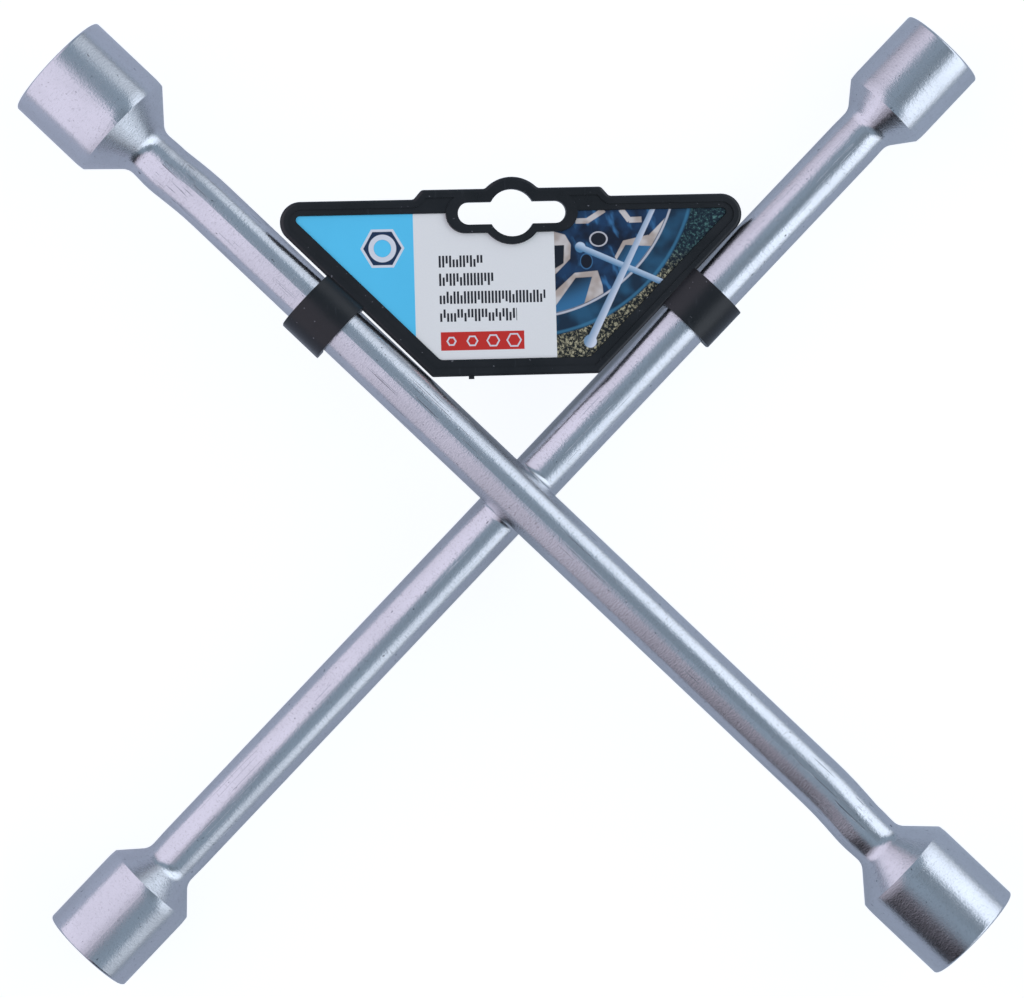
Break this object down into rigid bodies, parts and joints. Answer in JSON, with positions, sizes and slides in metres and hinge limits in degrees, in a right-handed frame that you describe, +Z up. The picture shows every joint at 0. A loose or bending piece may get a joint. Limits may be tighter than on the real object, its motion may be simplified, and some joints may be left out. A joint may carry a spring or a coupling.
{
  "type": "lug wrench",
  "caption": "Cross-shaped wheel wrench: two round bars welded at the middle with a hexagon socket on each end, and a black plastic hang plate clipped across two arms.",
  "frame": {"origin": "on the floor plane below the middle of the cross, at the middle of the box that holds it", "axes": "+Z up as it lies flat, +Y along the upper bar to the 22 mm socket, +X along the lower bar to the 17 mm socket"},
  "size_m": [0.353, 0.355, 0.0419],
  "materials": {
    "plated_bar": "satin zinc plate on drawn bar",
    "plated_socket": "satin zinc plate, turned",
    "plated_weld": "plated weld metal",
    "black_plastic": "satin moulded",
    "printed_card": "coated, printed"
  },
  "bodies": {
    "wrench": {"upper_rod": "plated_bar", "lower_rod": "plated_bar", "socket_22mm": "plated_socket", "socket_13_16in": "plated_socket", "socket_19mm": "plated_socket", "socket_17mm": "plated_socket", "centre_weld": "plated_weld"},
    "hanger": {"hanger_frame": "black_plastic", "front_card": "printed_card"}
  },
  "joints": [
    {"name": "hanger_lift", "type": "slide", "parent": "wrench", "child": "hanger", "axis": [0.0766, -0.0766, 0.9941], "range_m": [0, 0.06]}
  ]
}
